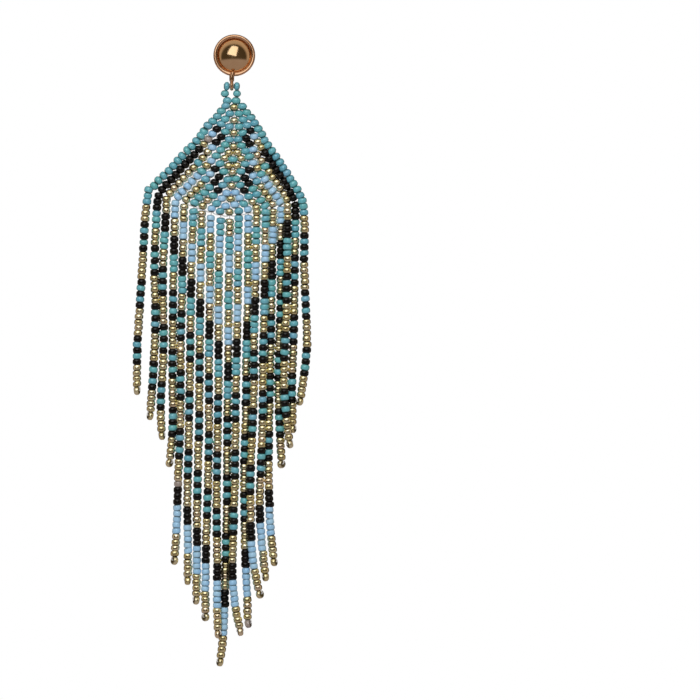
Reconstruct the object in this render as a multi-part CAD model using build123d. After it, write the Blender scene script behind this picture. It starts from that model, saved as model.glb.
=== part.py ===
from build123d import *
import math
import os

# Beaded fringe drop earring for a pierced ear, in millimetres, +Z up.
# The front faces -Y and the ear lobe is behind it. The origin is where the post's pad rests on
# the lobe, on the axis of the post.

# Stud: a shallow cup with a rolled rim, a dome that nearly fills it, and a post with a pad behind it
POST_D = 0.8
POST_LENGTH = 11.0
POST_TIP_CHAMFER = 0.2
PAD_D = 3.2
PAD_THICK = 0.4
CUP_D = 11.1
CUP_DEPTH = 1.9
CUP_FLAT_D = 5.2
CUP_WALL = 1.15
CUP_BULGE = 0.3
RIM_ROLL_D = 1.0
RIM_WIDTH = 1.15
DOME_CLEARANCE = 0.2
DOME_SIDE = 0.3
DOME_CAP = 1.6

# Eye: a closed ring whose stem is soldered across the front of the rim
EYE_X = -0.66
EYE_BELOW_CUP = 2.56
EYE_D = 2.7
EYE_WIRE_D = 0.8
STEM_D = 1.15
STEM_ON_CUP = 0.65
STEM_CLEARANCE = 0.15
STEM_IN_FRONT_OF_RIM = 0.525

# Seed beads, and the thread that the drop swings on in the eye
BEAD_D = 2.1
BEAD_LENGTH = 1.65
BEAD_HOLE_D = 0.8
BEAD_ROUNDING = 0.6
STRING_D = 1.9
THREAD_D = 0.35
THREAD_CLEARANCE = 0.05
THREAD_TAIL = 0.2
EYE_SIDE_CLEARANCE = 0.1
LOWER_BEAD_X = 1.6
LOWER_BEAD_GAP = 0.09

# Woven panel: brick-stitched rows of 2 to 19 beads, each row one bead longer than the row above
TOP_ROW = 2
AXIS_ROW = 3
BOTTOM_ROW = 19
AXIS_ROW_DROP = 5.47
ROW_PITCH = 1.71
AXIS_LEAN = -1.23
LEFT_SPREAD = 2.225
RIGHT_SPREAD = 2.07
LEFT_BOW = 0.43
RIGHT_BOW = 1.0
LEFT_RISE = 0.8
RIGHT_RISE = 0.5
ROW_CREST = 0.7
SIDE_ROWS = (TOP_ROW, AXIS_ROW, 11, 18)
LOWER_EDGE_RAISED = 0.75
PANEL_EDGE_ROUNDING = 0.5

# Each string's route from its first bead to its last, numbered from the left. A point is x to the
# right, y to the back and z up, from the bottom-row bead that the string hangs on.
STRING_ROUTES = {
    1: [(-1.4, 0, -1.1), (-1.9, 0, -4.3), (-2.5, 0, -9.6), (-2.85, 0, -18.6), (-3.85, 0, -32.9),
        (-4.65, 0, -45.65), (-4.5, 0, -54.3)],
    2: [(-1, 0, -1.8), (-1.4, 0, -5.1), (-1.75, 0, -10.95), (-2.1, 0, -21), (-1.65, 0, -36.1),
        (-2.45, 0, -50.7), (-3.2, 0, -60.15)],
    3: [(-0.9, 0, -2), (-1.15, 0, -5.9), (-1.6, 0, -13.3), (-2.05, 0, -24.7), (-1.65, -0.1, -37.95),
        (-1.95, 0, -48.55), (-2.75, 0, -57.85), (-2.15, 0, -64.65)],
    4: [(-0.75, 0, -2.3), (-0.95, 0, -7.75), (-1.15, 0, -17.8), (-1.45, 0, -35.85), (-1.5, 0.3, -52.25),
        (-1.35, 0.3, -62.85), (-2.3, 0.2, -71.05)],
    5: [(-0.6, 0, -2.4), (-0.85, 0, -10.15), (-1.1, 0, -24.95), (-1.6, 0, -41.65), (-1.45, -0.1, -58.35),
        (-2.3, 0, -76.1), (-2.5, 0, -88.05), (-3.15, 0, -96.1)],
    6: [(-0.3, 0, -2.85), (-0.6, 0, -10.4), (-0.95, 0, -24.7), (-1.1, 0, -42.2), (-1.5, 0, -63.4),
        (-1.95, 0, -83.3), (-1.6, 0, -93.9), (-1.8, 0, -100.7)],
    7: [(-0.3, 0, -2.65), (-0.5, 0, -10.95), (-0.75, 0, -25.5), (-0.9, 0, -44.05), (-1, 0, -59.95),
        (-1.65, 0, -81.15), (-1.55, 0, -95.75), (-1.8, 0, -105.1)],
    8: [(-0.25, 0, -3.05), (-0.35, 0, -10.95), (-0.5, 0, -24.75), (-0.75, 0, -43.3), (-0.7, 0, -63.15),
        (-1.15, 0, -79.05), (-1.7, 0, -96.3), (-1.65, 0, -108.75)],
    9: [(0.05, 0, -3), (-0.3, 0, -10.8), (-0.6, 0, -24.55), (-0.45, 0, -41.25), (-0.75, 0, -58.5),
        (-1.15, 0, -78.35), (-0.8, -0.3, -92.95), (-1, -0.7, -104.3), (-0.6, -0.9, -112.5)],
    10: [(0.1, 0, -2.9), (-0.05, 0.1, -10.9), (-0.25, 0.2, -23.6), (-0.4, 0.3, -42.15),
         (-0.7, 0.5, -60.7), (-0.65, 0.6, -76.6), (-1.05, 0.7, -92.5), (-1.4, 0.8, -107.1),
         (-1.85, 0.9, -115.05), (-2.6, 0.9, -119.6)],
    11: [(-0.1, 0, -2.25), (-0.15, 0, -10.6), (-0.3, 0, -23.85), (-0.75, -0.1, -43.75),
         (-0.95, -0.3, -62.3), (-1.15, -0.5, -76.85), (-1.75, -0.6, -91.45), (-1.55, -0.4, -102.85),
         (0.35, 0, -111.75)],
    12: [(0.1, 0.3, -2.55), (0.1, 0.35, -11.05), (0, 0.4, -24.05), (-0.4, 0.4, -38.9),
         (-0.45, 0.4, -53.45), (-1.05, 0.4, -69.9), (-0.9, 0.4, -82.6), (-0.5, 0.4, -97.2),
         (0.1, 0.4, -110.1)],
    13: [(0.15, 0, -1.65), (-0.1, 0, -8.9), (-0.2, -0.1, -22.7), (-0.65, -0.3, -35.4),
         (-0.6, -0.5, -51.3), (-1.6, -0.7, -68.55), (-1.55, -0.8, -83.1), (-1.05, -0.8, -95.05),
         (0.95, -0.8, -102.7)],
    14: [(0.25, -0.1, -2.15), (0.15, -0.2, -10.7), (0, -0.3, -25.3), (-0.5, -0.4, -42.5),
         (-0.45, -0.5, -57.35), (-1.05, -0.4, -70.35), (-1.35, 0, -82.25), (-0.6, 0, -91.55),
         (0.25, 0, -98.7)],
    15: [(0.3, 0.1, -2.35), (0.15, 0.2, -9.9), (-0.1, 0.3, -23.15), (-0.3, 0.4, -36.4),
         (-0.6, 0.5, -50.95), (-1, 0.4, -65.55), (-0.8, 0.2, -79.3), (-0.35, 0, -88.05), (0.55, 0, -95.2)],
    16: [(0.45, 0.5, -2.2), (0.2, 0.6, -9.3), (0.35, 0.8, -22.3), (-0.05, 0.8, -35.55),
         (-0.45, 0.9, -46.95), (-0.15, 0.8, -56.75), (0.25, 0.5, -64.2), (0.45, 0.4, -69.75)],
    17: [(0.25, -0.5, -1.8), (0.3, -0.6, -9.55), (0.05, -0.7, -24.15), (-0.25, -0.7, -36.6),
         (-0.85, -0.6, -46.4), (-0.4, -0.6, -55.95), (0.8, -0.7, -64.95)],
    18: [(0.6, 0.5, -2), (0.55, 0.4, -10.05), (0.3, 0.2, -24.65), (0.1, 0.2, -38.4), (-0.45, 0.4, -50.6),
         (-0.1, 0.8, -61.45)],
    19: [(0.7, -0.4, -1.45), (1.15, -0.3, -4.7), (1.2, 0, -10.8), (1.05, 0, -17.7), (1.5, 0, -27.8),
         (2, 0, -39.7), (1.25, -0.3, -47.4), (-0.05, -0.5, -54.65)],
}
BEND_SHARE = 0.45

# Sides of the panel
LEFT = -1
RIGHT = 1
BEAD_SPREAD = {LEFT: LEFT_SPREAD, RIGHT: RIGHT_SPREAD}
ROW_BOW = {LEFT: LEFT_BOW, RIGHT: RIGHT_BOW}
ROW_RISE = {LEFT: LEFT_RISE, RIGHT: RIGHT_RISE}

# Places that follow from the sizes
BACK_Y = -PAD_THICK
RIM_Y = BACK_Y - CUP_DEPTH + RIM_ROLL_D / 2
FLOOR_Y = BACK_Y - CUP_WALL
FLOOR_D = CUP_D - 2 * RIM_WIDTH
DOME_D = FLOOR_D - 2 * DOME_CLEARANCE
STEM_TOP_Z = STEM_ON_CUP - CUP_D / 2
EYE_CENTRE_Z = -CUP_D / 2 - EYE_BELOW_CUP
DROP_Y = RIM_Y - STEM_IN_FRONT_OF_RIM
EYE_HOLE_D = EYE_D - 2 * EYE_WIRE_D
HINGE_Z = EYE_CENTRE_Z - (EYE_HOLE_D - THREAD_D) / 2 + THREAD_CLEARANCE
INNER_FACE_X = EYE_WIRE_D / 2 + EYE_SIDE_CLEARANCE
UPPER_BEAD_X = INNER_FACE_X + BEAD_LENGTH / 2
LOWER_BEAD_Z = HINGE_Z - (BEAD_D + BEAD_LENGTH) / 2 - LOWER_BEAD_GAP
STEM_FOOT_Z = HINGE_Z + BEAD_D / 2 + STEM_CLEARANCE


def turned(outline):
    """A solid of revolution about the Y axis from an outline drawn in the XY plane."""
    return revolve(make_face(outline), Axis.Y)


def stud_cup():
    """The cup, its rolled rim and the eye on its stem, soldered into one piece of metal."""
    roll_r = RIM_ROLL_D / 2
    roll_x = CUP_D / 2 - roll_r
    back = (CUP_FLAT_D / 2, BACK_Y)
    shoulder = (roll_x + roll_r * 0.8, RIM_Y)
    inner_edge = (roll_x - roll_r * 0.8, RIM_Y)
    floor_edge = (FLOOR_D / 2, FLOOR_Y)
    bulge = ((back[0] + shoulder[0]) / 2 + CUP_BULGE, (back[1] + shoulder[1]) / 2 + CUP_BULGE)
    outline = Curve() + [
        Line((0, BACK_Y), back),
        ThreePointArc(back, bulge, shoulder),
        Line(shoulder, inner_edge),
        Line(inner_edge, floor_edge),
        Line(floor_edge, (0, FLOOR_Y)),
        Line((0, FLOOR_Y), (0, BACK_Y)),
    ]
    cup = turned(outline)
    roll = Pos(0, RIM_Y, 0) * Rot(90, 0, 0) * Torus(roll_x, roll_r)
    return cup + roll + eye_on_stem()


def eye_on_stem():
    """The closed ring in the Y-Z plane, and the stem that passes up in front of the rim."""
    ring_r = (EYE_D - EYE_WIRE_D) / 2
    ring = Pos(EYE_X, DROP_Y, EYE_CENTRE_Z) * Rot(0, 90, 0) * Torus(ring_r, EYE_WIRE_D / 2)
    neck = upright_wire(EYE_WIRE_D, EYE_CENTRE_Z + ring_r)
    stem = upright_wire(STEM_D, STEM_FOOT_Z)
    tip = Pos(EYE_X, DROP_Y, STEM_TOP_Z) * Sphere(STEM_D / 2)
    return ring + neck + stem + tip


def upright_wire(diameter, foot_z):
    """Wire in line with the eye, from its foot to the top of the stem."""
    length = STEM_TOP_Z - foot_z
    return Pos(EYE_X, DROP_Y, foot_z + length / 2) * Cylinder(diameter / 2, length)


def stud_dome():
    """The dome on the cup's floor: the low cap of a ball on a short upright side."""
    cap_r = DOME_D / 2
    ball_r = (cap_r ** 2 + DOME_CAP ** 2) / (2 * DOME_CAP)
    cap_y = FLOOR_Y - DOME_SIDE
    ball_y = cap_y - DOME_CAP + ball_r
    half_slope = math.asin(cap_r / ball_r) / 2
    halfway = (ball_r * math.sin(half_slope), ball_y - ball_r * math.cos(half_slope))
    outline = Curve() + [
        Line((0, FLOOR_Y), (cap_r, FLOOR_Y)),
        Line((cap_r, FLOOR_Y), (cap_r, cap_y)),
        ThreePointArc((cap_r, cap_y), halfway, (0, cap_y - DOME_CAP)),
        Line((0, cap_y - DOME_CAP), (0, FLOOR_Y)),
    ]
    return turned(outline)


def ear_post():
    """The straight post and the pad that joins it to the back of the cup."""
    post = Pos(0, (POST_LENGTH - PAD_THICK) / 2, 0) * Rot(90, 0, 0) * Cylinder(
        POST_D / 2, POST_LENGTH + PAD_THICK)
    post = chamfer(post.edges().sort_by(Axis.Y)[-1], POST_TIP_CHAMFER)
    pad = Pos(0, -PAD_THICK / 2, 0) * Rot(90, 0, 0) * Cylinder(PAD_D / 2, PAD_THICK)
    return post + pad


def seed_bead():
    """A drilled glass bead with its hole along Z."""
    body = Cylinder(BEAD_D / 2, BEAD_LENGTH)
    body = fillet(body.edges().filter_by(GeomType.CIRCLE), BEAD_ROUNDING)
    return body - Cylinder(BEAD_HOLE_D / 2, BEAD_LENGTH)


def loop_bead(side, upper):
    """A bead of the loop: the upper pair lies along the thread in the eye, the lower pair stands."""
    if upper:
        return Pos(EYE_X + side * UPPER_BEAD_X, DROP_Y, HINGE_Z) * Rot(0, 90, 0) * seed_bead()
    return Pos(EYE_X + side * LOWER_BEAD_X, DROP_Y, LOWER_BEAD_Z) * seed_bead()


def hanging_thread():
    """The thread through the eye and the upper beads, which the drop swings on."""
    length = 2 * (INNER_FACE_X + BEAD_LENGTH + THREAD_TAIL)
    return Pos(EYE_X, DROP_Y, HINGE_Z) * Rot(0, 90, 0) * Cylinder(THREAD_D / 2, length)


def bead_place(row, step):
    """x and z of a woven bead, step beads to the right of the middle of its row."""
    side = LEFT if step < 0 else RIGHT
    reach = abs(step) / half_row(BOTTOM_ROW)
    growth = ((row - AXIS_ROW) / (BOTTOM_ROW - AXIS_ROW)) ** 2
    axis_x = EYE_X if row < AXIS_ROW else AXIS_LEAN * growth
    bow = 4 * ROW_BOW[side] * growth * reach * (1 - reach)
    rise = ROW_RISE[side] * (math.hypot(step, ROW_CREST) - ROW_CREST)
    x = axis_x + side * (BEAD_SPREAD[side] * abs(step) + bow)
    z = HINGE_Z - AXIS_ROW_DROP - ROW_PITCH * (row - AXIS_ROW) + rise
    return x, z


def half_row(row):
    """Steps from the middle of a row to its last bead."""
    return (row - 1) / 2


def woven_panel():
    """The beadwork of all rows as one band, as thick as a bead, round the outer beads' middles."""
    left_side = [bead_place(row, -half_row(row)) for row in SIDE_ROWS]
    right_side = [bead_place(row, half_row(row)) for row in reversed(SIDE_ROWS)]
    top_lowered = (BEAD_D - BEAD_LENGTH) / 2
    left_side[0] = (left_side[0][0], left_side[0][1] - top_lowered)
    right_side[-1] = (right_side[-1][0], right_side[-1][1] - top_lowered)
    lower_edge = []
    for step in range(-9, 10, 3):
        x, z = bead_place(BOTTOM_ROW, step)
        reach = step / half_row(BOTTOM_ROW)
        lower_edge.append((x, z + LOWER_EDGE_RAISED * reach ** 2))
    outline = Polyline(*left_side, *lower_edge, *right_side, close=True)
    face = offset(make_face(outline), BEAD_D / 2, kind=Kind.ARC)
    band = extrude(Plane.XZ * face, BEAD_D / 2, both=True)
    rims = band.edges().filter_by_position(Axis.Y, -BEAD_D, -BEAD_D / 4)
    rims += band.edges().filter_by_position(Axis.Y, BEAD_D / 4, BEAD_D)
    return Pos(0, DROP_Y, 0) * fillet(rims, PANEL_EDGE_ROUNDING)


def bend_radii(points):
    """One arc radius for each corner, as large as its two runs allow."""
    radii = []
    for before, corner, after in zip(points, points[1:], points[2:]):
        run_in = corner - before
        run_out = after - corner
        half_turn = math.radians(run_in.get_angle(run_out)) / 2
        radii.append(BEND_SHARE * min(run_in.length, run_out.length) / math.tan(half_turn))
    return radii


def end_cap(path, at):
    """A half ball on the tube's end, at 0 for its start and 1 for its end."""
    outward = path.tangent_at(at) * (1 if at else -1)
    plane = Plane(origin=path.position_at(at), z_dir=outward)
    return plane * Sphere(STRING_D / 2, 0, 90)


def bead_string(number):
    """A string of beads as a tube from the panel's lower edge to its last bead."""
    hang_x, hang_z = bead_place(BOTTOM_ROW, number - 1 - half_row(BOTTOM_ROW))
    hang = Vector(hang_x, DROP_Y, hang_z)
    points = [hang + Vector(*offset_from_bead) for offset_from_bead in STRING_ROUTES[number]]
    radii = bend_radii(points)
    path = FilletPolyline(*points, radius=radii)
    section = Plane(origin=path.position_at(0), z_dir=path.tangent_at(0)) * Circle(STRING_D / 2)
    tube = sweep(section, path)
    ideal = math.pi * (STRING_D / 2) ** 2 * path.length
    print(f"string {number}: length {path.length:.1f}, volume ratio {tube.volume / ideal:.4f}, "
          f"radii {[round(radius) for radius in radii]}")
    return tube + end_cap(path, 0) + end_cap(path, 1)


def build():
    """Every piece of the earring by its node's name."""
    pieces = {
        "stud_cup": stud_cup(),
        "stud_dome": stud_dome(),
        "ear_post": ear_post(),
        "hanging_thread": hanging_thread(),
        "loop_bead_upper_left": loop_bead(LEFT, True),
        "loop_bead_upper_right": loop_bead(RIGHT, True),
        "loop_bead_lower_left": loop_bead(LEFT, False),
        "loop_bead_lower_right": loop_bead(RIGHT, False),
        "woven_panel": woven_panel(),
    }
    for number in STRING_ROUTES:
        pieces[f"bead_string_{number:02d}"] = bead_string(number)
    return pieces


os.makedirs("parts", exist_ok=True)
for name, solid in build().items():
    export_step(solid, f"parts/{name}.step")
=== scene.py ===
# Beaded fringe drop earring: beads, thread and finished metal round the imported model.
import math
import random

import bmesh
import bpy
import numpy as np
from mathutils import Matrix, Vector

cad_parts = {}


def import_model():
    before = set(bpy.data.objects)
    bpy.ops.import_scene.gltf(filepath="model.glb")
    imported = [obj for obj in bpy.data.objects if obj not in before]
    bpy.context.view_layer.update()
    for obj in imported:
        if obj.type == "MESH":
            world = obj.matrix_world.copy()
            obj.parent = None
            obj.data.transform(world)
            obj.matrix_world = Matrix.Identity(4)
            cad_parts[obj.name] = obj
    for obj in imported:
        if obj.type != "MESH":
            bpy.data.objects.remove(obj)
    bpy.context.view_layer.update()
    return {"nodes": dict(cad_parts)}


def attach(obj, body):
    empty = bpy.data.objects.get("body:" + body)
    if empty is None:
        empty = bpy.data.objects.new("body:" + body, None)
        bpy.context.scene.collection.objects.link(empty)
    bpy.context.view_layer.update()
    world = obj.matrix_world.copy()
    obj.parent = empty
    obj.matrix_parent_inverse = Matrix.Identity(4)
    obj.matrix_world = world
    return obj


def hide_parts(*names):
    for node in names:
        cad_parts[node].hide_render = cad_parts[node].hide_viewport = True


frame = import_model()

MM = 0.001
LEFT = -1
RIGHT = 1
draw = random.Random(19)

# Metal of the stud in millimetres, as in the part
PAD_THICK = 0.4
CUP_D = 11.1
CUP_DEPTH = 1.9
CUP_FLAT_D = 5.2
CUP_WALL = 1.15
CUP_BULGE = 0.3
RIM_ROLL_D = 1.0
DOME_D = 8.4
DOME_SIDE = 0.3
DOME_CAP = 1.6
EYE_X = -0.66
EYE_CENTRE_Z = -8.11
EYE_D = 2.7
STEM_TOP_Z = -4.9
STEM_FOOT_Z = -7.235
STEM_IN_FRONT_OF_RIM = 0.525
HINGE_Z = -8.435
BACK_Y = -PAD_THICK
RIM_Y = BACK_Y - CUP_DEPTH + RIM_ROLL_D / 2
FLOOR_Y = BACK_Y - CUP_WALL
DROP_Y = RIM_Y - STEM_IN_FRONT_OF_RIM

# Finer forms of the stud for the render alone, in millimetres and degrees; its eye is thicker
RIM_OUTER_R = 0.45
RIM_INNER_R = 0.8
RIM_LIP_R = 0.15
RIM_SLOPE = 41
CREST_Y = RIM_Y - RIM_ROLL_D / 2
MOAT_BULGE = -0.05
MOAT_UNDER_DOME = 0.1
DOME_SIDE_OVERLAP = 0.05
EYE_WIRE_D = 0.98
STEM_D = 1.36
STEM_BEND = 0.6
STEM_BEND_START = 0.6
SOLDER_D = 0.5
SOLDER_SPREAD = 0.45
TURNED_SEGMENTS = 128
RING_BALLS = 60
STEM_STEPS = 30
EYE_VOXEL = 0.06

# Beads and thread in millimetres
LOOP_BEAD_D = 2.25
UPPER_BEAD_LENGTH = 1.6
LOWER_BEAD_LENGTH = 1.85
LOOP_BEAD_LIFT = 0.2
LOWER_BEAD_SHIFT = -0.22
WEAVE_BEAD_D = 2.32
WEAVE_BEAD_LENGTH = 1.92
STRING_BEAD_D = 2.25
STRING_PITCH = 1.545
BEAD_HOLE_D = 0.8
THREAD_D = 0.3
UPPER_BEAD_X = 1.325
LOWER_BEAD_X = 1.6
LOWER_BEAD_Z = -10.4

# The weave's rows in millimetres, as in the part
TOP_ROW = 2
AXIS_ROW = 3
BOTTOM_ROW = 19
AXIS_ROW_DROP = 5.47
ROW_PITCH = 1.71
AXIS_LEAN = -1.23
BEAD_SPREAD = {LEFT: 2.225, RIGHT: 2.07}
ROW_BOW = {LEFT: 0.43, RIGHT: 1.0}
ROW_RISE = {LEFT: 0.8, RIGHT: 0.5}
ROW_CREST = 0.7

# How the weave hangs in millimetres: parted in its upper rows, sagging in its lower, edges tucked in
PARTING = {LEFT: 0.12, RIGHT: 0.3}
PARTED_ROW = 5.5
PARTED_ROWS = 4.5
SAG = {LEFT: 0.6, RIGHT: 0.35}
SAG_START = 8
SAG_FULL = 19
EDGE_TUCK = 0.27

# Each string's route from its first bead to its last, as in the part
STRING_ROUTES = {
    1: [(-1.4, 0, -1.1), (-1.9, 0, -4.3), (-2.5, 0, -9.6), (-2.85, 0, -18.6), (-3.85, 0, -32.9),
        (-4.65, 0, -45.65), (-4.5, 0, -54.3)],
    2: [(-1, 0, -1.8), (-1.4, 0, -5.1), (-1.75, 0, -10.95), (-2.1, 0, -21), (-1.65, 0, -36.1),
        (-2.45, 0, -50.7), (-3.2, 0, -60.15)],
    3: [(-0.9, 0, -2), (-1.15, 0, -5.9), (-1.6, 0, -13.3), (-2.05, 0, -24.7), (-1.65, -0.1, -37.95),
        (-1.95, 0, -48.55), (-2.75, 0, -57.85), (-2.15, 0, -64.65)],
    4: [(-0.75, 0, -2.3), (-0.95, 0, -7.75), (-1.15, 0, -17.8), (-1.45, 0, -35.85), (-1.5, 0.3, -52.25),
        (-1.35, 0.3, -62.85), (-2.3, 0.2, -71.05)],
    5: [(-0.6, 0, -2.4), (-0.85, 0, -10.15), (-1.1, 0, -24.95), (-1.6, 0, -41.65), (-1.45, -0.1, -58.35),
        (-2.3, 0, -76.1), (-2.5, 0, -88.05), (-3.15, 0, -96.1)],
    6: [(-0.3, 0, -2.85), (-0.6, 0, -10.4), (-0.95, 0, -24.7), (-1.1, 0, -42.2), (-1.5, 0, -63.4),
        (-1.95, 0, -83.3), (-1.6, 0, -93.9), (-1.8, 0, -100.7)],
    7: [(-0.3, 0, -2.65), (-0.5, 0, -10.95), (-0.75, 0, -25.5), (-0.9, 0, -44.05), (-1, 0, -59.95),
        (-1.65, 0, -81.15), (-1.55, 0, -95.75), (-1.8, 0, -105.1)],
    8: [(-0.25, 0, -3.05), (-0.35, 0, -10.95), (-0.5, 0, -24.75), (-0.75, 0, -43.3), (-0.7, 0, -63.15),
        (-1.15, 0, -79.05), (-1.7, 0, -96.3), (-1.65, 0, -108.75)],
    9: [(0.05, 0, -3), (-0.3, 0, -10.8), (-0.6, 0, -24.55), (-0.45, 0, -41.25), (-0.75, 0, -58.5),
        (-1.15, 0, -78.35), (-0.8, -0.3, -92.95), (-1, -0.7, -104.3), (-0.6, -0.9, -112.5)],
    10: [(0.1, 0, -2.9), (-0.05, 0.1, -10.9), (-0.25, 0.2, -23.6), (-0.4, 0.3, -42.15),
         (-0.7, 0.5, -60.7), (-0.65, 0.6, -76.6), (-1.05, 0.7, -92.5), (-1.4, 0.8, -107.1),
         (-1.85, 0.9, -115.05), (-2.6, 0.9, -119.6)],
    11: [(-0.1, 0, -2.25), (-0.15, 0, -10.6), (-0.3, 0, -23.85), (-0.75, -0.1, -43.75),
         (-0.95, -0.3, -62.3), (-1.15, -0.5, -76.85), (-1.75, -0.6, -91.45), (-1.55, -0.4, -102.85),
         (0.35, 0, -111.75)],
    12: [(0.1, 0.3, -2.55), (0.1, 0.35, -11.05), (0, 0.4, -24.05), (-0.4, 0.4, -38.9),
         (-0.45, 0.4, -53.45), (-1.05, 0.4, -69.9), (-0.9, 0.4, -82.6), (-0.5, 0.4, -97.2),
         (0.1, 0.4, -110.1)],
    13: [(0.15, 0, -1.65), (-0.1, 0, -8.9), (-0.2, -0.1, -22.7), (-0.65, -0.3, -35.4),
         (-0.6, -0.5, -51.3), (-1.6, -0.7, -68.55), (-1.55, -0.8, -83.1), (-1.05, -0.8, -95.05),
         (0.95, -0.8, -102.7)],
    14: [(0.25, -0.1, -2.15), (0.15, -0.2, -10.7), (0, -0.3, -25.3), (-0.5, -0.4, -42.5),
         (-0.45, -0.5, -57.35), (-1.05, -0.4, -70.35), (-1.35, 0, -82.25), (-0.6, 0, -91.55),
         (0.25, 0, -98.7)],
    15: [(0.3, 0.1, -2.35), (0.15, 0.2, -9.9), (-0.1, 0.3, -23.15), (-0.3, 0.4, -36.4),
         (-0.6, 0.5, -50.95), (-1, 0.4, -65.55), (-0.8, 0.2, -79.3), (-0.35, 0, -88.05), (0.55, 0, -95.2)],
    16: [(0.45, 0.5, -2.2), (0.2, 0.6, -9.3), (0.35, 0.8, -22.3), (-0.05, 0.8, -35.55),
         (-0.45, 0.9, -46.95), (-0.15, 0.8, -56.75), (0.25, 0.5, -64.2), (0.45, 0.4, -69.75)],
    17: [(0.25, -0.5, -1.8), (0.3, -0.6, -9.55), (0.05, -0.7, -24.15), (-0.25, -0.7, -36.6),
         (-0.85, -0.6, -46.4), (-0.4, -0.6, -55.95), (0.8, -0.7, -64.95)],
    18: [(0.6, 0.5, -2), (0.55, 0.4, -10.05), (0.3, 0.2, -24.65), (0.1, 0.2, -38.4), (-0.45, 0.4, -50.6),
         (-0.1, 0.8, -61.45)],
    19: [(0.7, -0.4, -1.45), (1.15, -0.3, -4.7), (1.2, 0, -10.8), (1.05, 0, -17.7), (1.5, 0, -27.8),
         (2, 0, -39.7), (1.25, -0.3, -47.4), (-0.05, -0.5, -54.65)],
}

# Bead colours: T turquoise, B light blue, K black, G gold, C bare glass
COLOURS = {"T": "turquoise", "B": "light_blue", "K": "black", "G": "gold", "C": "clear"}

# Right half of each woven row from the middle outwards; the left half mirrors it
HALF_ROWS = {
    2: "T", 3: "GT", 4: "TT", 5: "GTT", 6: "TTT", 7: "GTKT", 8: "TKBT", 9: "GTKGT", 10: "GTBGT",
    11: "TGTGKT", 12: "GTBGKT", 13: "GTKGTKT", 14: "TKBTGKT", 15: "GTKTBGKT", 16: "BKTGBGKT",
    17: "GBTTGBGKT", 18: "BTGTGBGKT", 19: "GTBGTGBGKT",
}
CLEAR_WEAVE_BEADS = [(9, -3)]

# Strings of the fringe: the head's runs of three start one run later for each string further out
CENTRE_STRING = 10
HEAD_RUNS = "GTBGTGBGKTG"
HEAD_RUN_LENGTH = 3
BAND = "KTKTK" + "GGGGG"
BANDS = 3
TAIL = "KKK" + "BBBBB" + "GGGGG"
LAST_STRING_WITH_TAIL = 5
CLEAR_STRING_BEADS = [(5, 47), (12, 69)]

# How the strings hang: aside of their routes in millimetres, and settled by a share of their length
STRING_SHIFT = {2: 0.1, 3: 0.1, 4: 0.1, 5: 0.08, 15: -0.1, 16: -0.05, 17: -0.07, 18: -0.12}
SETTLING = {8: 0.011, 9: 0.0125, 10: 0.009, 11: 0.0125}
USUAL_SETTLING = 0.0065

# Bead proportions and how far beads differ from each other
SEGMENTS = 20
OUTER_POINTS = 9
MOUTH_RADIUS = 0.68
LIP_HEIGHT = 0.97
HOLE_HEIGHT = 0.85
# Painted shade: each bead's wall darkens towards its mouths, from a start height to full, where neighbouring
# beads meet
PAINTED_SHADE_START = 0.6
PAINTED_SHADE_FULL = 0.88
PAINTED_MOUTH_SHADE = (0.24, 0.22, 0.17, 1)
WOVEN_ROUNDNESS = {"T": 0.88, "B": 0.8, "K": 0.9, "G": 0.86, "C": 0.86}
STRING_ROUNDNESS = {"T": 0.66, "B": 0.58, "K": 0.66, "G": 0.66, "C": 0.62}
BEAD_WIDTH = {"T": 1.05, "B": 0.98, "K": 1.04, "G": 1.02, "C": 1.0}
BEAD_PITCH = {"T": 1.01, "B": 1.0, "K": 1.03, "G": 0.98, "C": 0.98}
BEAD_FILL = 1.14
WIDTH_SPREAD = 0.02
LENGTH_SPREAD = 0.025
TILT_SPREAD = 0.065
WEDGE_SPREAD = 0.05
DEPTH_SPREAD = 0.06
PLACE_SPREAD = 0.05
SHIFT_SPREAD = 0.04
TURN_SPREAD = 0.7
LOOP_START = 0.55
UPRIGHT_STEPS = 1.5
LEANING_STEPS = 5.5
LOOPED_STEPS = 5


def superpower(value, power):
    """A signed power, which squares off a circle's cosine and sine."""
    return math.copysign(abs(value) ** power, value)


def bead_profile(roundness):
    """Radius and height round a bead's wall, 1 in outer radius and half length, from mouth to mouth."""
    hole = BEAD_HOLE_D / LOOP_BEAD_D
    steepest = math.acos(MOUTH_RADIUS ** (1 / roundness))
    profile = []
    for index in range(OUTER_POINTS):
        turn = steepest * (2 * index / (OUTER_POINTS - 1) - 1)
        profile.append((superpower(math.cos(turn), roundness), superpower(math.sin(turn), roundness)))
    lip = (hole + MOUTH_RADIUS) / 2
    return profile + [(lip, LIP_HEIGHT), (hole, HOLE_HEIGHT), (hole, -HOLE_HEIGHT), (lip, -LIP_HEIGHT)]


def bead_shape(roundness):
    """Vertices and faces of one bead with its hole along Z."""
    profile = bead_profile(roundness)
    count = len(profile)
    points = []
    faces = []
    for segment in range(SEGMENTS):
        angle = 2 * math.pi * segment / SEGMENTS
        points += [(radius * math.cos(angle), radius * math.sin(angle), z) for radius, z in profile]
        here = segment * count
        there = (segment + 1) % SEGMENTS * count
        for index in range(count):
            after = (index + 1) % count
            faces.append((here + index, there + index, there + after, here + after))
    return np.array(points), np.array(faces)


WOVEN_SHAPES = {colour: bead_shape(roundness) for colour, roundness in WOVEN_ROUNDNESS.items()}
STRING_SHAPES = {colour: bead_shape(roundness) for colour, roundness in STRING_ROUNDNESS.items()}

# The beads, which one of the lights reaches alone
BEAD_PIECES = bpy.data.collections.new("bead_pieces")


def new_piece(name, mesh, material, body, nodes):
    """A smooth-shaded piece that rides on a body and stands for its CAD nodes."""
    piece = bpy.data.objects.new(name, mesh)
    bpy.context.scene.collection.objects.link(piece)
    mesh.materials.append(material)
    mesh.shade_smooth()
    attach(piece, body)
    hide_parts(*nodes)
    return piece


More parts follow.
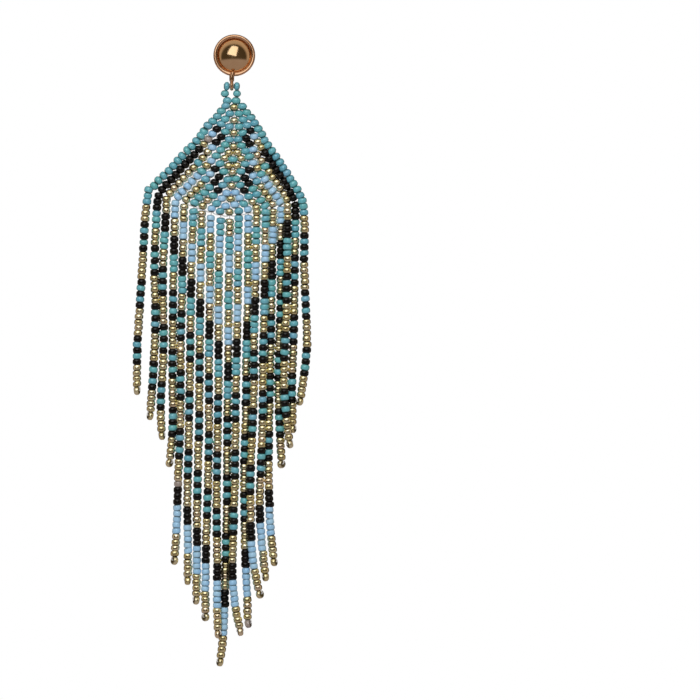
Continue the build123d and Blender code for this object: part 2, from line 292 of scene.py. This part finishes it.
def noise(nodes, links, scale, detail=2, stretch=(1, 1, 1)):
    """Noise in the object's own metres, scale lumps to a metre, finer where stretched."""
    place = nodes.new("ShaderNodeTexCoord")
    mapping = nodes.new("ShaderNodeMapping")
    mapping.inputs["Scale"].default_value = stretch
    texture = nodes.new("ShaderNodeTexNoise")
    texture.inputs["Scale"].default_value = scale
    texture.inputs["Detail"].default_value = detail
    links.new(place.outputs["Object"], mapping.inputs["Vector"])
    links.new(mapping.outputs["Vector"], texture.inputs["Vector"])
    return texture.outputs["Fac"]


def ramp(nodes, links, value, stops):
    """Colours at stops between 0 and 1 of a value."""
    node = nodes.new("ShaderNodeValToRGB")
    elements = node.color_ramp.elements
    while len(elements) < len(stops):
        elements.new(0.5)
    for element, (position, colour) in zip(elements, stops):
        element.position = position
        element.color = (*colour, 1)
    links.new(value, node.inputs["Fac"])
    return node.outputs["Color"]


def between(nodes, links, value, low, high):
    """Maps a noise's usual range to a low and a high number."""
    node = nodes.new("ShaderNodeMapRange")
    node.inputs["From Min"].default_value = 0.3
    node.inputs["From Max"].default_value = 0.7
    node.inputs["To Min"].default_value = low
    node.inputs["To Max"].default_value = high
    links.new(value, node.inputs["Value"])
    return node.outputs["Result"]


def bump(nodes, links, height, distance):
    """A bump as deep as distance, in millimetres."""
    node = nodes.new("ShaderNodeBump")
    node.inputs["Distance"].default_value = distance * MM
    links.new(height, node.inputs["Height"])
    return node.outputs["Normal"]


def new_material(name):
    """A material, its nodes, its links and its shader."""
    material = bpy.data.materials.new(name)
    material.use_nodes = True
    nodes = material.node_tree.nodes
    return material, nodes, material.node_tree.links, nodes["Principled BSDF"]


def bead_material(name, stops, roughness, lumps, metallic=0.0, coat=0.0, specular=0.5, drawn=0.0):
    """Glass or plating: a tone for each bead, painted shade darkening it towards its mouths where beads
    meet, fine lumps and a shine drawn out round it.
    """
    material, nodes, links, shader = new_material(name)
    tone = nodes.new("ShaderNodeAttribute")
    tone.attribute_name = "tone"
    mouth = nodes.new("ShaderNodeAttribute")
    mouth.attribute_name = "mouth"
    # Painted shade, multiplied into the bead's colour near its mouths
    shade = nodes.new("ShaderNodeMix")
    shade.data_type = "RGBA"
    shade.blend_type = "MULTIPLY"
    shade.inputs["B"].default_value = PAINTED_MOUTH_SHADE
    links.new(mouth.outputs["Fac"], shade.inputs["Factor"])
    links.new(ramp(nodes, links, tone.outputs["Fac"], stops), shade.inputs["A"])
    links.new(shade.outputs["Result"], shader.inputs["Base Color"])
    fine = noise(nodes, links, 1800)
    links.new(between(nodes, links, fine, *roughness), shader.inputs["Roughness"])
    links.new(bump(nodes, links, noise(nodes, links, 1100), lumps), shader.inputs["Normal"])
    around = nodes.new("ShaderNodeAttribute")
    around.attribute_name = "around"
    links.new(around.outputs["Vector"], shader.inputs["Tangent"])
    shader.inputs["Anisotropic"].default_value = drawn
    shader.inputs["Metallic"].default_value = metallic
    shader.inputs["Specular IOR Level"].default_value = specular
    shader.inputs["Coat Weight"].default_value = coat
    shader.inputs["Coat Roughness"].default_value = 0.12
    return material


BEAD_MATERIALS = {
    "T": bead_material("turquoise_glass", [
        (0.0, (0.13, 0.46, 0.61)), (0.45, (0.14, 0.52, 0.61)), (0.8, (0.13, 0.51, 0.55)),
        (1.0, (0.18, 0.5, 0.69))], (0.16, 0.26), 0.03, coat=1.0),
    "B": bead_material("light_blue_glass", [
        (0.0, (0.35, 0.67, 1.0)), (0.6, (0.4, 0.71, 1.0)), (1.0, (0.43, 0.74, 1.0))],
        (0.26, 0.38), 0.03, coat=0.5),
    "K": bead_material("black_glass", [
        (0.0, (0.001, 0.001, 0.001)), (1.0, (0.002, 0.0015, 0.0015))], (0.1, 0.16), 0.04, specular=0.36,
        drawn=0.8),
    "G": bead_material("gold_plated_glass", [
        (0.0, (0.78, 0.7, 0.38)), (0.5, (0.88, 0.82, 0.5)), (0.85, (0.9, 0.86, 0.6)),
        (1.0, (0.9, 0.78, 0.56))], (0.18, 0.26), 0.05, metallic=1.0, drawn=0.7),
    "C": bead_material("bare_glass", [
        (0.0, (0.36, 0.31, 0.28)), (1.0, (0.46, 0.41, 0.38))], (0.12, 0.25), 0.02, coat=1.0),
}


def thread_material():
    """Waxed white nylon with a fine twist."""
    material, nodes, links, shader = new_material("white_thread")
    strands = noise(nodes, links, 3000, stretch=(1, 1, 0.3))
    links.new(ramp(nodes, links, strands, [(0.3, (0.78, 0.79, 0.8)), (0.7, (0.93, 0.93, 0.92))]),
              shader.inputs["Base Color"])
    links.new(bump(nodes, links, strands, 0.03), shader.inputs["Normal"])
    shader.inputs["Roughness"].default_value = 0.5
    return material


THREAD = thread_material()


def metal_material(name, clean, worn, roughness):
    """Plated metal with uneven gloss, faint tarnish and fine hairlines."""
    material, nodes, links, shader = new_material(name)
    tarnish = noise(nodes, links, 420, detail=5)
    links.new(ramp(nodes, links, tarnish, [(0.35, clean), (0.75, worn)]), shader.inputs["Base Color"])
    hairlines = noise(nodes, links, 2500, stretch=(1, 1, 0.1))
    links.new(between(nodes, links, hairlines, *roughness), shader.inputs["Roughness"])
    links.new(bump(nodes, links, hairlines, 0.0004), shader.inputs["Normal"])
    shader.inputs["Metallic"].default_value = 1.0
    return material


CUP_METAL = metal_material("copper_gold", (0.76, 0.47, 0.29), (0.66, 0.37, 0.2), (0.14, 0.22))
DOME_METAL = metal_material("antique_gold", (0.78, 0.55, 0.32), (0.7, 0.47, 0.26), (0.1, 0.16))
POST_METAL = metal_material("steel", (0.74, 0.73, 0.72), (0.64, 0.63, 0.62), (0.38, 0.5))


class Bead:
    """One bead: its middle, the direction of its hole, its width and length in millimetres."""

    def __init__(self, middle, axis, width, length):
        self.middle = Vector(middle)
        lean = Vector([draw.gauss(0, TILT_SPREAD) for _ in range(3)])
        self.axis = (Vector(axis).normalized() + lean).normalized()
        self.width = width * draw.gauss(1, WIDTH_SPREAD)
        self.length = length * draw.gauss(1, LENGTH_SPREAD)
        self.wedge = draw.gauss(0, WEDGE_SPREAD)
        self.spin = draw.uniform(0, 2 * math.pi)
        self.tone = draw.random()

    def matrix(self):
        """Shears, scales and turns the unit bead into its place, in metres."""
        turn = self.axis.to_track_quat("Z", "Y").to_matrix() @ Matrix.Rotation(self.spin, 3, "Z")
        size = Matrix.Diagonal((self.width / 2, self.width / 2, self.length / 2))
        wedge = Matrix(((1, 0, 0), (0, 1, 0), (self.wedge, 0, 1)))
        return np.array(turn @ wedge @ size) * MM


def bead_pieces(name, coloured_beads, shapes, nodes):
    """One piece for each colour among pairs of colour and bead."""
    for colour, word in COLOURS.items():
        beads = [bead for its_colour, bead in coloured_beads if its_colour == colour]
        if not beads:
            continue
        shape_points, shape_faces = shapes[colour]
        count = len(shape_points)
        # Mask of the painted shade: 0 on the bead's wall, 1 near its mouths
        mouth = np.clip((np.abs(shape_points[:, 2]) - PAINTED_SHADE_START) / (PAINTED_SHADE_FULL - PAINTED_SHADE_START), 0, 1)
        points = [shape_points @ bead.matrix().T + np.array(bead.middle) * MM for bead in beads]
        around = [shape_points[:, [1, 0, 2]] * (-1, 1, 0) @ bead.matrix().T / MM for bead in beads]
        faces = [shape_faces + count * index for index in range(len(beads))]
        mesh = bpy.data.meshes.new(f"{name}_{word}")
        mesh.from_pydata(np.concatenate(points).tolist(), [], np.concatenate(faces).tolist())
        for label, values in (("tone", np.repeat([bead.tone for bead in beads], count)),
                              ("mouth", np.tile(mouth, len(beads)))):
            mesh.attributes.new(label, "FLOAT", "POINT").data.foreach_set("value", values)
        vectors = mesh.attributes.new("around", "FLOAT_VECTOR", "POINT")
        vectors.data.foreach_set("vector", np.concatenate(around).ravel())
        piece = new_piece(f"{name}_{word}", mesh, BEAD_MATERIALS[colour], "drop", nodes)
        BEAD_PIECES.objects.link(piece)


def route_mesh(lines, bevel=0.0):
    """Mesh of the smooth curves that lines of points control, thick if bevelled."""
    curve = bpy.data.curves.new("route", "CURVE")
    curve.dimensions = "3D"
    curve.bevel_depth = bevel
    curve.bevel_resolution = 1
    curve.use_fill_caps = True
    for line in lines:
        spline = curve.splines.new("NURBS")
        spline.points.add(len(line) - 1)
        for point, place in zip(spline.points, line):
            point.co = (*place, 1)
        spline.order_u = 3
        spline.use_endpoint_u = True
    holder = bpy.data.objects.new("route", curve)
    mesh = bpy.data.meshes.new_from_object(holder)
    bpy.data.objects.remove(holder)
    return mesh


def thread_piece(name, lines, nodes):
    """Thread along lines of points in millimetres."""
    mesh = route_mesh([[Vector(point) * MM for point in line] for line in lines], THREAD_D / 2 * MM)
    new_piece(name, mesh, THREAD, "drop", nodes)


class Walk:
    """The smooth line that a route's points control, walked by length in millimetres."""

    def __init__(self, route):
        mesh = route_mesh([route])
        self.line = np.array([tuple(vertex.co) for vertex in mesh.vertices])
        bpy.data.meshes.remove(mesh)
        steps = np.linalg.norm(np.diff(self.line, axis=0), axis=1)
        self.reached = np.concatenate([[0], np.cumsum(steps)])
        self.length = self.reached[-1]

    def at(self, distance):
        """The place at a distance from the start."""
        return Vector([np.interp(distance, self.reached, self.line[:, axis]) for axis in range(3)])

    def direction(self, distance, near=0.5):
        """The line's direction near a distance from the start."""
        ahead = self.at(min(distance + near, self.length))
        return (ahead - self.at(max(distance - near, 0))).normalized()


def half_row(row):
    """Steps from the middle of a row to its last bead."""
    return (row - 1) / 2


def row_steps(row):
    """Steps of a row's beads from left to right, 0 at the middle."""
    return [index - half_row(row) for index in range(row)]


def weave_point(row, step):
    """Middle of a woven bead, step beads to the right of the middle of its row."""
    side = LEFT if step < 0 else RIGHT
    reach = abs(step) / half_row(BOTTOM_ROW)
    growth = ((row - AXIS_ROW) / (BOTTOM_ROW - AXIS_ROW)) ** 2
    axis_x = EYE_X if row < AXIS_ROW else AXIS_LEAN * growth
    bow = 4 * ROW_BOW[side] * growth * reach * (1 - reach)
    rise = ROW_RISE[side] * (math.hypot(step, ROW_CREST) - ROW_CREST)
    x = axis_x + side * (BEAD_SPREAD[side] * abs(step) + bow)
    z = HINGE_Z - AXIS_ROW_DROP - ROW_PITCH * (row - AXIS_ROW) + rise
    return Vector((x, DROP_Y, z))


def settled_point(row, step):
    """Middle of a woven bead as it hangs, parted from the gold column, sagging and tucked in."""
    side = LEFT if step < 0 else RIGHT
    parting = PARTING[side] * max(1 - abs(row - PARTED_ROW) / PARTED_ROWS, 0) if step else 0
    out = abs(step) / half_row(row)
    sag = SAG[side] * min(max((row - SAG_START) / (SAG_FULL - SAG_START), 0), 1) * (1 - out ** 4)
    tuck = EDGE_TUCK if out == 1 and SAG_START < row < BOTTOM_ROW - 1 else 0
    return weave_point(row, step) + Vector((side * (parting - tuck), 0, -sag))


def weave_axis(row, step):
    """Direction of a woven bead's hole: upright in the middle, along the diagonals in the wings."""
    side = LEFT if step < 0 else RIGHT
    down = Vector((0, 0, -1))
    diagonal = (weave_point(row + 1, step + side / 2) - weave_point(row, step)).normalized()
    lean = (abs(step) - UPRIGHT_STEPS) / (LEANING_STEPS - UPRIGHT_STEPS)
    return down.lerp(diagonal, min(max(lean, 0), 1))


def woven_beads():
    """Beads of every row, in their chart's colours."""
    beads = []
    for row in range(TOP_ROW, BOTTOM_ROW + 1):
        for step in row_steps(row):
            colour = "C" if (row, step) in CLEAR_WEAVE_BEADS else HALF_ROWS[row][int(abs(step))]
            middle = settled_point(row, step)
            for axis, spread in enumerate((PLACE_SPREAD, DEPTH_SPREAD, PLACE_SPREAD)):
                middle[axis] += draw.gauss(0, spread)
            width = WEAVE_BEAD_D * BEAD_WIDTH[colour]
            beads.append((colour, Bead(middle, weave_axis(row, step), width, WEAVE_BEAD_LENGTH)))
    bead_pieces("woven_panel", beads, WOVEN_SHAPES, ["woven_panel"])


def woven_thread():
    """Thread from each bead to the one two rows below, down the edges and along the bottom row."""
    lines = []
    for row in range(TOP_ROW, BOTTOM_ROW - 1):
        for step in row_steps(row):
            lines.append([settled_point(row, step), settled_point(row + 2, step)])
    for row in range(TOP_ROW, BOTTOM_ROW):
        edge = half_row(row)
        for side in (LEFT, RIGHT):
            lines.append([settled_point(row, side * edge), settled_point(row + 1, side * (edge + 0.5))])
    under = Vector((0, 0, -WEAVE_BEAD_LENGTH / 2 - THREAD_D / 2))
    steps = row_steps(BOTTOM_ROW)
    for step, after in zip(steps, steps[1:]):
        here = settled_point(BOTTOM_ROW, step)
        there = settled_point(BOTTOM_ROW, after)
        looped = abs(step + after) / 2 < LOOPED_STEPS
        lines.append([here, here + under, there + under, there] if looped else [here, there])
    thread_piece("woven_panel_thread", lines, ["woven_panel"])


def string_colours(number):
    """Colour letters of a string's beads from the top."""
    out = abs(number - CENTRE_STRING)
    head = "".join(run * HEAD_RUN_LENGTH for run in HEAD_RUNS[out:])
    tail = TAIL if out <= LAST_STRING_WITH_TAIL else ""
    colours = list(head + BAND * BANDS + tail)
    for string, index in CLEAR_STRING_BEADS:
        if string == number:
            colours[index] = "C"
    return colours


def bead_string(number):
    """A string's beads and thread; the last bead lies across, where the thread turns back."""
    node = f"bead_string_{number:02d}"
    hang = weave_point(BOTTOM_ROW, number - CENTRE_STRING)
    walk = Walk([hang + Vector(point) for point in STRING_ROUTES[number]])
    colours = string_colours(number)
    shares = [BEAD_PITCH[colour] * draw.gauss(1, LENGTH_SPREAD) for colour in colours[:-1]]
    turn_share = STRING_BEAD_D / (2 * STRING_PITCH)
    reach = [0]
    for before, after in zip(shares, shares[1:]):
        reach.append(reach[-1] + (before + after) / 2)
    pitch = walk.length / (reach[-1] + shares[-1] / 2 + turn_share)
    aside = STRING_SHIFT.get(number, 0)
    settling = SETTLING.get(number, USUAL_SETTLING)
    beads = []
    line = [settled_point(BOTTOM_ROW, number - CENTRE_STRING)]
    for colour, share, steps in zip(colours, shares, reach):
        place = steps * pitch
        place += settling * walk.length * math.sin(math.pi * place / walk.length)
        middle = walk.at(place) + Vector((aside + draw.gauss(0, SHIFT_SPREAD), 0, 0))
        width = STRING_BEAD_D * BEAD_WIDTH[colour]
        beads.append((colour, Bead(middle, walk.direction(place), width, share * pitch * BEAD_FILL)))
        line.append(middle)
    end = walk.at(walk.length) + Vector((aside, 0, 0))
    along = walk.direction(walk.length)
    turn = Matrix.Rotation(draw.uniform(-TURN_SPREAD, TURN_SPREAD), 3, along)
    across = turn @ along.cross(Vector((0, 1, 0)))
    last = Bead(end, across, STRING_BEAD_D * BEAD_WIDTH[colours[-1]], STRING_PITCH)
    beads.append((colours[-1], last))
    bead_pieces(node, beads, STRING_SHAPES, [node])
    mouth = last.axis * (last.length / 2 + THREAD_D / 3)
    loop = [line[-1], line[-1].lerp(end, LOOP_START) + mouth, end + mouth, end, end - mouth,
            line[-1].lerp(end, LOOP_START) - mouth, line[-1]]
    thread_piece(f"{node}_thread", [line, loop], [node])


def hanging_loop():
    """Four beads on the thread that hangs in the stud's eye."""
    top = weave_point(TOP_ROW, 0)
    levels = (("upper", UPPER_BEAD_X, 0, HINGE_Z, (1, 0, 0), UPPER_BEAD_LENGTH),
              ("lower", LOWER_BEAD_X, LOWER_BEAD_SHIFT, LOWER_BEAD_Z, (0, 0, 1), LOWER_BEAD_LENGTH))
    for side, word in ((LEFT, "left"), (RIGHT, "right")):
        for level, out, shift, z, axis, length in levels:
            middle = (EYE_X + side * out + shift, DROP_Y, z + LOOP_BEAD_LIFT)
            node = f"loop_bead_{level}_{word}"
            bead_pieces(node, [("T", Bead(middle, axis, LOOP_BEAD_D, length))], WOVEN_SHAPES, [node])
    half = [(UPPER_BEAD_X, HINGE_Z), (LOWER_BEAD_X + 0.5, HINGE_Z), (LOWER_BEAD_X, LOWER_BEAD_Z + 1),
            (LOWER_BEAD_X, LOWER_BEAD_Z - 1), (BEAD_SPREAD[RIGHT] / 2, top.z + 0.6),
            (BEAD_SPREAD[RIGHT] / 2, top.z)]
    left = [Vector((EYE_X - x, DROP_Y, z)) for x, z in reversed(half)]
    right = [Vector((EYE_X + x, DROP_Y, z)) for x, z in half]
    thread_piece("hanging_thread_loop", [left + right], ["hanging_thread"])


def arc(start, end, bulge, count):
    """Points from a start to an end, bulged sideways in the middle."""
    start = Vector(start)
    end = Vector(end)
    run = end - start
    out = Vector((-run.y, run.x)).normalized()
    shares = [index / count for index in range(count + 1)]
    return [tuple(start + run * share + out * (bulge * 4 * share * (1 - share))) for share in shares]


def lathe(name, outline, material, nodes):
    """A turned piece round the post's axis from radius and y, in millimetres."""
    points = []
    faces = []
    for segment in range(TURNED_SEGMENTS):
        angle = 2 * math.pi * segment / TURNED_SEGMENTS
        points += [(radius * MM * math.cos(angle), y * MM, radius * MM * math.sin(angle))
                   for radius, y in outline]
        here = segment * len(outline)
        there = (segment + 1) % TURNED_SEGMENTS * len(outline)
        for index in range(len(outline) - 1):
            faces.append((here + index, here + index + 1, there + index + 1, there + index))
    mesh = bpy.data.meshes.new(name)
    mesh.from_pydata(points, [], faces)
    merge(mesh)
    new_piece(name, mesh, material, "stud", nodes)


def merge(mesh):
    """Joins the vertices that meet on a turned piece's axis, and turns its faces outwards."""
    work = bmesh.new()
    work.from_mesh(mesh)
    bmesh.ops.remove_doubles(work, verts=work.verts, dist=1e-7)
    bmesh.ops.dissolve_degenerate(work, edges=work.edges, dist=1e-8)
    bmesh.ops.recalc_face_normals(work, faces=work.faces)
    work.to_mesh(mesh)
    work.free()


def bend(centre, radius, start, end, count=10):
    """Points round a circle between two angles in degrees: 0 faces front, 90 the middle, -90 outwards."""
    angles = [math.radians(start + (end - start) * index / count) for index in range(count + 1)]
    return [(centre[0] - radius * math.sin(angle), centre[1] - radius * math.cos(angle)) for angle in angles]


def stud_cup():
    """The turned cup: its rolled rim slopes gently inwards to a lip and a narrow moat."""
    crest_x = CUP_D / 2 - RIM_OUTER_R
    side = arc((CUP_FLAT_D / 2, BACK_Y), (CUP_D / 2, RIM_Y), CUP_BULGE, 16)
    outer = bend((crest_x, CREST_Y + RIM_OUTER_R), RIM_OUTER_R, -90, 0)
    inner = bend((crest_x, CREST_Y + RIM_INNER_R), RIM_INNER_R, 0, RIM_SLOPE)
    slope = math.radians(RIM_SLOPE)
    lip_centre = (inner[-1][0] + RIM_LIP_R * math.sin(slope), inner[-1][1] + RIM_LIP_R * math.cos(slope))
    lip = bend(lip_centre, RIM_LIP_R, RIM_SLOPE, 100)
    moat = arc(lip[-1], (DOME_D / 2 - MOAT_UNDER_DOME, FLOOR_Y), MOAT_BULGE, 6)
    outline = [(0, BACK_Y), (CUP_FLAT_D / 4, BACK_Y), *side, *outer, *inner[1:], *lip[1:], *moat[1:],
               (DOME_D / 4, FLOOR_Y), (0, FLOOR_Y)]
    lathe("stud_cup_turned", outline, CUP_METAL, ["stud_cup"])


def stud_dome():
    """The dome: the cap of a ball on a low upright side."""
    ball_r = (DOME_D ** 2 / 4 + DOME_CAP ** 2) / (2 * DOME_CAP)
    steepest = math.degrees(math.asin(DOME_D / 2 / ball_r))
    middle_y = FLOOR_Y - DOME_SIDE - DOME_CAP + ball_r
    cap = bend((0, middle_y), ball_r, -steepest, 0, 40)
    side_top = (DOME_D / 2, FLOOR_Y - DOME_SIDE + DOME_SIDE_OVERLAP)
    outline = [(0, FLOOR_Y), (DOME_D / 2, FLOOR_Y), side_top, *cap]
    lathe("stud_dome_ball", outline, DOME_METAL, ["stud_dome"])


def eye():
    """The ring and its stem, soldered across the front of the cup's rim."""
    work = bmesh.new()

    def ball(x, y, z, radius):
        bmesh.ops.create_icosphere(work, subdivisions=2, radius=radius, matrix=Matrix.Translation((x, y, z)))

    wire = EYE_WIRE_D / 2
    ring = EYE_D / 2 - wire
    for index in range(RING_BALLS):
        turn = 2 * math.pi * index / RING_BALLS
        ball(EYE_X, DROP_Y + ring * math.cos(turn), EYE_CENTRE_Z + ring * math.sin(turn), wire)
    foot = STEM_FOOT_Z + STEM_D / 2
    for index in range(STEM_STEPS + 1):
        share = index / STEM_STEPS
        aside = STEM_BEND * max(share - STEM_BEND_START, 0)
        ball(EYE_X + aside, DROP_Y, foot + (STEM_TOP_Z - foot) * share, STEM_D / 2)
    rim_z = -(CUP_D - RIM_ROLL_D) / 2
    ball(EYE_X - SOLDER_SPREAD, RIM_Y - RIM_ROLL_D / 4, rim_z, SOLDER_D / 2)
    ball(EYE_X + SOLDER_SPREAD, RIM_Y - RIM_ROLL_D / 4, rim_z, SOLDER_D / 2)
    mesh = bpy.data.meshes.new("stud_cup_eye")
    work.to_mesh(mesh)
    work.free()
    holder = bpy.data.objects.new("eye", mesh)
    bpy.context.scene.collection.objects.link(holder)
    remesh = holder.modifiers.new("fuse", "REMESH")
    remesh.mode = "VOXEL"
    remesh.voxel_size = EYE_VOXEL
    smooth = holder.modifiers.new("melt", "SMOOTH")
    smooth.factor = 0.5
    smooth.iterations = 3
    fused = bpy.data.meshes.new_from_object(holder.evaluated_get(bpy.context.evaluated_depsgraph_get()))
    bpy.data.objects.remove(holder)
    fused.transform(Matrix.Diagonal((MM, MM, MM, 1)))
    new_piece("stud_cup_eye", fused, CUP_METAL, "stud", ["stud_cup"])


def post():
    """The ear post keeps its own solid in brushed steel."""
    node = frame["nodes"]["ear_post"]
    node.data.materials.clear()
    node.data.materials.append(POST_METAL)


# Studio in metres: the camera stands level with the middle of the photographed frame
CAMERA_X = 0.03067
CAMERA_Z = -0.07812
CAMERA_DISTANCE = 1.0305
LENS = 200
FLOOR_Z = -0.35
FLOOR_RADIUS = 1.2
GROUND_LIGHT = (0.37, 0.31, 0.3, 1)
GROUND_EDGE = (-0.33, -0.2)
DARK_SIDE = (-0.06, -0.985, -0.12)


def camera():
    """Looks along +Y, square on to the earring."""
    data = bpy.data.cameras.new("camera")
    data.lens = LENS
    data.clip_start = 0.01
    data.clip_end = 20
    view = bpy.data.objects.new("camera", data)
    view.location = (CAMERA_X, DROP_Y * MM - CAMERA_DISTANCE, CAMERA_Z)
    view.rotation_euler = (math.pi / 2, 0, 0)
    bpy.context.scene.collection.objects.link(view)
    bpy.context.scene.camera = view


def softbox(name, place, tilt, roll, size, radiance, reflected):
    """An area light that faces down, tilted about X and rolled in its own plane, in degrees."""
    data = bpy.data.lights.new(name, "AREA")
    data.shape = "RECTANGLE"
    data.size, data.size_y = size
    data.energy = radiance * math.pi * size[0] * size[1]
    light = bpy.data.objects.new(name, data)
    turn = Matrix.Rotation(math.radians(tilt), 4, "X") @ Matrix.Rotation(math.radians(roll), 4, "Z")
    light.matrix_world = Matrix.Translation(place) @ turn
    light.visible_camera = False
    light.visible_glossy = reflected
    bpy.context.scene.collection.objects.link(light)
    return light


def floor():
    """A pale round floor with its own light; the world gives the earring the light of a floor."""
    sides = 96
    corners = []
    for index in range(sides):
        angle = 2 * math.pi * index / sides
        corners.append((FLOOR_RADIUS * math.cos(angle), FLOOR_RADIUS * math.sin(angle), FLOOR_Z))
    mesh = bpy.data.meshes.new("floor")
    mesh.from_pydata(corners, [], [range(sides)])
    material, nodes, links, shader = new_material("pale_floor")
    grain = noise(nodes, links, 60, detail=3)
    links.new(ramp(nodes, links, grain, [(0.3, (0.82, 0.8, 0.78)), (0.7, (0.84, 0.82, 0.8))]),
              shader.inputs["Base Color"])
    shader.inputs["Roughness"].default_value = 0.8
    mesh.materials.append(material)
    plane = bpy.data.objects.new("floor", mesh)
    bpy.context.scene.collection.objects.link(plane)
    plane.visible_diffuse = False
    plane.visible_glossy = False
    lit = bpy.data.collections.new("lit_floor")
    lit.objects.link(plane)
    light = softbox("floor_light", (0, 0, 1.6), 0, 0, (2.4, 2.4), 1.5, reflected=False)
    light.light_linking.receiver_collection = lit


def world():
    """White to the camera; it lights the earring from the sides and, as a floor would, from below."""
    sky = bpy.data.worlds.new("studio")
    bpy.context.scene.world = sky
    sky.use_nodes = True
    nodes = sky.node_tree.nodes
    links = sky.node_tree.links
    background = nodes["Background"]
    place = nodes.new("ShaderNodeTexCoord")
    ahead = nodes.new("ShaderNodeVectorMath")
    ahead.operation = "DOT_PRODUCT"
    ahead.inputs[1].default_value = DARK_SIDE
    links.new(place.outputs["Generated"], ahead.inputs[0])
    share = nodes.new("ShaderNodeMapRange")
    share.inputs["From Min"].default_value = -1
    links.new(ahead.outputs["Value"], share.inputs["Value"])
    light = ramp(nodes, links, share.outputs["Result"], [
        (0.0, (0.06, 0.05, 0.035)), (0.36, (0.08, 0.06, 0.045)), (0.46, (0.54, 0.43, 0.34)),
        (0.66, (0.54, 0.43, 0.34)), (0.74, (0.07, 0.055, 0.033)), (1.0, (0.08, 0.06, 0.036))])
    upward = nodes.new("ShaderNodeSeparateXYZ")
    links.new(place.outputs["Generated"], upward.inputs["Vector"])
    above = nodes.new("ShaderNodeMapRange")
    above.inputs["From Min"].default_value, above.inputs["From Max"].default_value = GROUND_EDGE
    links.new(upward.outputs["Z"], above.inputs["Value"])
    ground = nodes.new("ShaderNodeMix")
    ground.data_type = "RGBA"
    ground.inputs["A"].default_value = GROUND_LIGHT
    links.new(above.outputs["Result"], ground.inputs["Factor"])
    links.new(light, ground.inputs["B"])
    path = nodes.new("ShaderNodeLightPath")
    mix = nodes.new("ShaderNodeMix")
    mix.data_type = "RGBA"
    links.new(path.outputs["Is Camera Ray"], mix.inputs["Factor"])
    links.new(ground.outputs["Result"], mix.inputs["A"])
    mix.inputs["B"].default_value = (1, 1, 1, 1)
    links.new(mix.outputs["Result"], background.inputs["Color"])


def lights():
    """A key, fills in front and behind, and a shine for the beads alone."""
    softbox("key", (-0.149, -1.26, 0.8), 98.9, -15.1, (1.017, 1.501), 1.45, reflected=True)
    softbox("front_fill", (-0.1, -1.4, 0.5), 68, 0, (0.6, 0.6), 8, reflected=False)
    shine = softbox("bead_shine", (-0.15, -1.25, 0.8), 57, 0, (2.4, 1.1), 0.9, reflected=True)
    shine.visible_diffuse = False
    shine.light_linking.receiver_collection = BEAD_PIECES
    softbox("back_fill", (0, 1.5, -0.05), -90, 0, (0.8, 0.8), 2, reflected=True)


woven_beads()
woven_thread()
for number in STRING_ROUTES:
    bead_string(number)
hanging_loop()
stud_cup()
stud_dome()
eye()
post()
camera()
floor()
world()
lights()
bpy.context.scene.view_settings.view_transform = "Standard"
